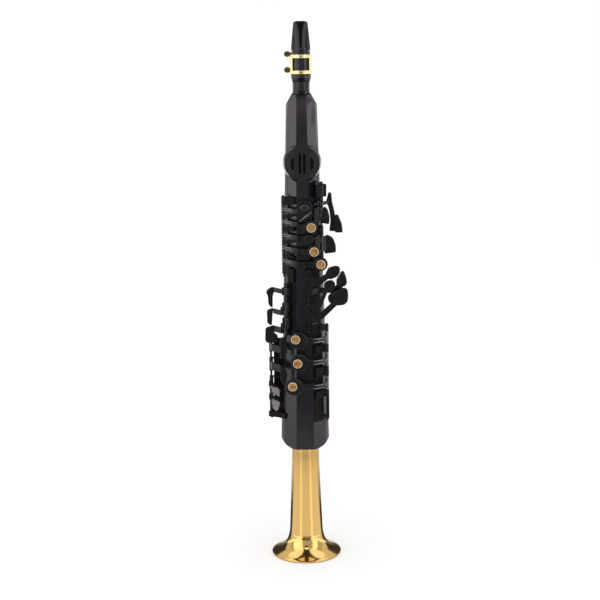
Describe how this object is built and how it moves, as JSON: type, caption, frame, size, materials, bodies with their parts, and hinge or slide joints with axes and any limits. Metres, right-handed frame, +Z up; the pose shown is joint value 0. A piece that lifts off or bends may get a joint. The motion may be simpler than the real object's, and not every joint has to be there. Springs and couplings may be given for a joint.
{
  "type": "soprano saxophone",
  "caption": "Straight electronic saxophone in soprano form: faceted black housing with a speaker, levers on hinge rods, brass bell, mouthpiece and ligature.",
  "frame": {"origin": "on the bell's axis, in the plane of the bell's rim, which it stands on", "axes": "+Z up the body to the mouthpiece, -Y the front with the finger keys and the speaker, +X the right seen from the front, where the left little finger's table lies"},
  "size_m": [0.1156, 0.0984, 0.7545],
  "materials": {
    "body_black": "satin moulded plastic",
    "grille_black": "fine textured plastic",
    "key_black": "satin black lacquered plastic",
    "rod_black": "black plated steel",
    "bronze_pearl": "amber bronze finger buttons",
    "gold_lacquer": "polished brass under gold lacquer",
    "dark_brass": "dark brass",
    "hard_rubber": "polished black resin",
    "receiver_black": "satin black",
    "cane": "natural cane",
    "cork": "cork sleeve",
    "circuit_green": "circuit board",
    "battery_grey": "cells in a tray",
    "display_black": "dark display window",
    "driver_metal": "speaker frame"
  },
  "bodies": {
    "instrument": {"front_shell": "body_black", "rear_shell": "body_black", "speaker_grille": "grille_black", "speaker_driver": "driver_metal", "circuit_board": "circuit_green", "battery_pack": "battery_grey", "breath_sensor": "battery_grey", "bell": "gold_lacquer", "bell_cap": "grille_black", "neck_receiver": "receiver_black", "neck_cork": "cork", "mouthpiece": "hard_rubber", "reed": "cane", "ligature": "gold_lacquer", "left_rod": "rod_black", "table_rod": "rod_black", "palm_rod": "rod_black", "side_rod": "rod_black", "pinky_rod": "rod_black", "right_rod": "rod_black", "thumb_rest": "key_black", "thumb_hook": "rod_black", "strap_ring": "dark_brass", "display_window": "display_black", "jack_panel": "grille_black"},
    "front_f": {"front_f_key": "key_black"},
    "b_lever": {"b_key": "key_black", "b_pearl": "bronze_pearl"},
    "bis_lever": {"bis_key": "key_black"},
    "a_lever": {"a_key": "key_black", "a_pearl": "bronze_pearl"},
    "g_lever": {"g_key": "key_black", "g_pearl": "bronze_pearl"},
    "g_sharp": {"g_sharp_key": "key_black"},
    "low_c_sharp": {"low_c_sharp_key": "key_black"},
    "low_b": {"low_b_key": "key_black"},
    "low_b_flat": {"low_b_flat_key": "key_black"},
    "palm_d": {"palm_d_key": "key_black"},
    "palm_e_flat": {"palm_e_flat_key": "key_black"},
    "palm_f": {"palm_f_key": "key_black"},
    "side_e": {"side_e_key": "key_black"},
    "side_c": {"side_c_key": "key_black"},
    "side_b_flat": {"side_b_flat_key": "key_black"},
    "high_f_sharp": {"high_f_sharp_key": "key_black"},
    "f_trill": {"f_trill_key": "key_black"},
    "low_e_flat": {"low_e_flat_key": "key_black"},
    "low_c": {"low_c_key": "key_black"},
    "f_lever": {"f_key": "key_black", "f_pearl": "bronze_pearl"},
    "e_lever": {"e_key": "key_black", "e_pearl": "bronze_pearl"},
    "d_lever": {"d_key": "key_black", "d_pearl": "bronze_pearl"},
    "octave_lever": {"octave_key": "key_black"},
    "bend_controller": {"thumb_controller": "key_black"},
    "battery_door": {"battery_cover": "body_black"},
    "power_push": {"power_button": "key_black"},
    "menu_push": {"menu_button": "key_black"},
    "lower_screw": {"ligature_screw_lower": "dark_brass"},
    "upper_screw": {"ligature_screw_upper": "dark_brass"}
  },
  "joints": [
    {"name": "front_f_key_hinge", "type": "hinge", "parent": "instrument", "child": "front_f", "pos_m": [-0.0265, -0.0135, 0.5018], "axis": [0, 0, 1], "range_deg": [0, 4], "stiffness_Nm_per_rad": 0.15, "springref_deg": -5.73},
    {"name": "b_key_hinge", "type": "hinge", "parent": "instrument", "child": "b_lever", "pos_m": [-0.0265, -0.0135, 0.4845], "axis": [0, 0, 1], "range_deg": [0, 4], "stiffness_Nm_per_rad": 0.15, "springref_deg": -5.73},
    {"name": "bis_key_hinge", "type": "hinge", "parent": "instrument", "child": "bis_lever", "pos_m": [-0.0265, -0.0135, 0.4656], "axis": [0, 0, 1], "range_deg": [0, 4], "stiffness_Nm_per_rad": 0.15, "springref_deg": -5.73},
    {"name": "a_key_hinge", "type": "hinge", "parent": "instrument", "child": "a_lever", "pos_m": [-0.0265, -0.0135, 0.4478], "axis": [0, 0, 1], "range_deg": [0, 4], "stiffness_Nm_per_rad": 0.15, "springref_deg": -5.73},
    {"name": "g_key_hinge", "type": "hinge", "parent": "instrument", "child": "g_lever", "pos_m": [-0.0265, -0.0135, 0.4295], "axis": [0, 0, 1], "range_deg": [0, 4], "stiffness_Nm_per_rad": 0.15, "springref_deg": -5.73},
    {"name": "g_sharp_key_hinge", "type": "hinge", "parent": "instrument", "child": "g_sharp", "pos_m": [0.0065, -0.03, 0.4038], "axis": [0, 0, 1], "range_deg": [0, 4.5], "stiffness_Nm_per_rad": 0.15, "springref_deg": -5.73},
    {"name": "low_c_sharp_key_hinge", "type": "hinge", "parent": "instrument", "child": "low_c_sharp", "pos_m": [0.0065, -0.03, 0.3902], "axis": [0, 0, 1], "range_deg": [0, 4.5], "stiffness_Nm_per_rad": 0.15, "springref_deg": -5.73},
    {"name": "low_b_key_hinge", "type": "hinge", "parent": "instrument", "child": "low_b", "pos_m": [0.0065, -0.03, 0.368], "axis": [0, 0, 1], "range_deg": [0, 4.5], "stiffness_Nm_per_rad": 0.15, "springref_deg": -5.73},
    {"name": "low_b_flat_key_hinge", "type": "hinge", "parent": "instrument", "child": "low_b_flat", "pos_m": [0.0065, -0.03, 0.3558], "axis": [0, 0, 1], "range_deg": [0, 4.5], "stiffness_Nm_per_rad": 0.15, "springref_deg": -5.73},
    {"name": "palm_d_key_hinge", "type": "hinge", "parent": "instrument", "child": "palm_d", "pos_m": [0.0255, -0.0165, 0.5104], "axis": [0, 0, 1], "range_deg": [0, 7], "stiffness_Nm_per_rad": 0.15, "springref_deg": -5.73},
    {"name": "palm_e_flat_key_hinge", "type": "hinge", "parent": "instrument", "child": "palm_e_flat", "pos_m": [0.0255, -0.0165, 0.4959], "axis": [0, 0, 1], "range_deg": [0, 7], "stiffness_Nm_per_rad": 0.15, "springref_deg": -5.73},
    {"name": "palm_f_key_hinge", "type": "hinge", "parent": "instrument", "child": "palm_f", "pos_m": [0.0255, -0.0165, 0.4544], "axis": [0, 0, 1], "range_deg": [0, 7], "stiffness_Nm_per_rad": 0.15, "springref_deg": -5.73},
    {"name": "side_e_key_hinge", "type": "hinge", "parent": "instrument", "child": "side_e", "pos_m": [-0.0245, -0.0215, 0.3888], "axis": [0, 0, -1], "range_deg": [0, 7], "stiffness_Nm_per_rad": 0.15, "springref_deg": -5.73},
    {"name": "side_c_key_hinge", "type": "hinge", "parent": "instrument", "child": "side_c", "pos_m": [-0.0245, -0.0215, 0.3665], "axis": [0, 0, -1], "range_deg": [0, 7], "stiffness_Nm_per_rad": 0.15, "springref_deg": -5.73},
    {"name": "side_b_flat_key_hinge", "type": "hinge", "parent": "instrument", "child": "side_b_flat", "pos_m": [-0.0245, -0.0215, 0.3434], "axis": [0, 0, -1], "range_deg": [0, 7], "stiffness_Nm_per_rad": 0.15, "springref_deg": -5.73},
    {"name": "high_f_sharp_key_hinge", "type": "hinge", "parent": "instrument", "child": "high_f_sharp", "pos_m": [-0.0465, 0.001, 0.3055], "axis": [0, 0, 1], "range_deg": [0, 5], "stiffness_Nm_per_rad": 0.15, "springref_deg": -5.73},
    {"name": "f_trill_key_hinge", "type": "hinge", "parent": "instrument", "child": "f_trill", "pos_m": [-0.0465, 0.001, 0.2787], "axis": [0, 0, 1], "range_deg": [0, 5], "stiffness_Nm_per_rad": 0.15, "springref_deg": -5.73},
    {"name": "low_e_flat_key_hinge", "type": "hinge", "parent": "instrument", "child": "low_e_flat", "pos_m": [-0.0465, 0.001, 0.2514], "axis": [0, 0, 1], "range_deg": [0, 7], "stiffness_Nm_per_rad": 0.15, "springref_deg": -5.73},
    {"name": "low_c_key_hinge", "type": "hinge", "parent": "instrument", "child": "low_c", "pos_m": [-0.0465, 0.001, 0.2294], "axis": [0, 0, 1], "range_deg": [0, 7], "stiffness_Nm_per_rad": 0.15, "springref_deg": -5.73},
    {"name": "f_key_hinge", "type": "hinge", "parent": "instrument", "child": "f_lever", "pos_m": [0.0314, -0.017, 0.3214], "axis": [0, 0, -1], "range_deg": [0, 4], "stiffness_Nm_per_rad": 0.15, "springref_deg": -5.73},
    {"name": "e_key_hinge", "type": "hinge", "parent": "instrument", "child": "e_lever", "pos_m": [0.0314, -0.017, 0.2904], "axis": [0, 0, -1], "range_deg": [0, 4], "stiffness_Nm_per_rad": 0.15, "springref_deg": -5.73},
    {"name": "d_key_hinge", "type": "hinge", "parent": "instrument", "child": "d_lever", "pos_m": [0.0314, -0.017, 0.2561], "axis": [0, 0, -1], "range_deg": [0, 4], "stiffness_Nm_per_rad": 0.15, "springref_deg": -5.73},
    {"name": "octave_key_hinge", "type": "hinge", "parent": "instrument", "child": "octave_lever", "pos_m": [0, 0.02665, 0.499], "axis": [-1, 0, 0], "range_deg": [0, 5], "stiffness_Nm_per_rad": 0.06, "springref_deg": -5.73},
    {"name": "thumb_controller_rock", "type": "hinge", "parent": "instrument", "child": "bend_controller", "pos_m": [0, 0.02145, 0.527], "axis": [1, 0, 0], "range_deg": [-7, 7], "stiffness_Nm_per_rad": 0.03},
    {"name": "battery_cover_hinge", "type": "hinge", "parent": "instrument", "child": "battery_door", "pos_m": [0, 0.02807, 0.18635], "axis": [-1, 0, 0], "range_deg": [0, 100]},
    {"name": "power_button_press", "type": "slide", "parent": "instrument", "child": "power_push", "axis": [0, -1, 0], "range_m": [0, 0.0008], "stiffness_N_per_m": 300, "springref_m": -0.0006},
    {"name": "menu_button_press", "type": "slide", "parent": "instrument", "child": "menu_push", "axis": [0, -1, 0], "range_m": [0, 0.0008], "stiffness_N_per_m": 300, "springref_m": -0.0006},
    {"name": "ligature_screw_lower_turn", "type": "hinge", "parent": "instrument", "child": "lower_screw", "pos_m": [0, 0.02184, 0.68809], "axis": [1, 0, 0], "range_deg": [-180, 180]},
    {"name": "ligature_screw_upper_turn", "type": "hinge", "parent": "instrument", "child": "upper_screw", "pos_m": [0, 0.025, 0.70926], "axis": [1, 0, 0], "range_deg": [-180, 180]}
  ]
}
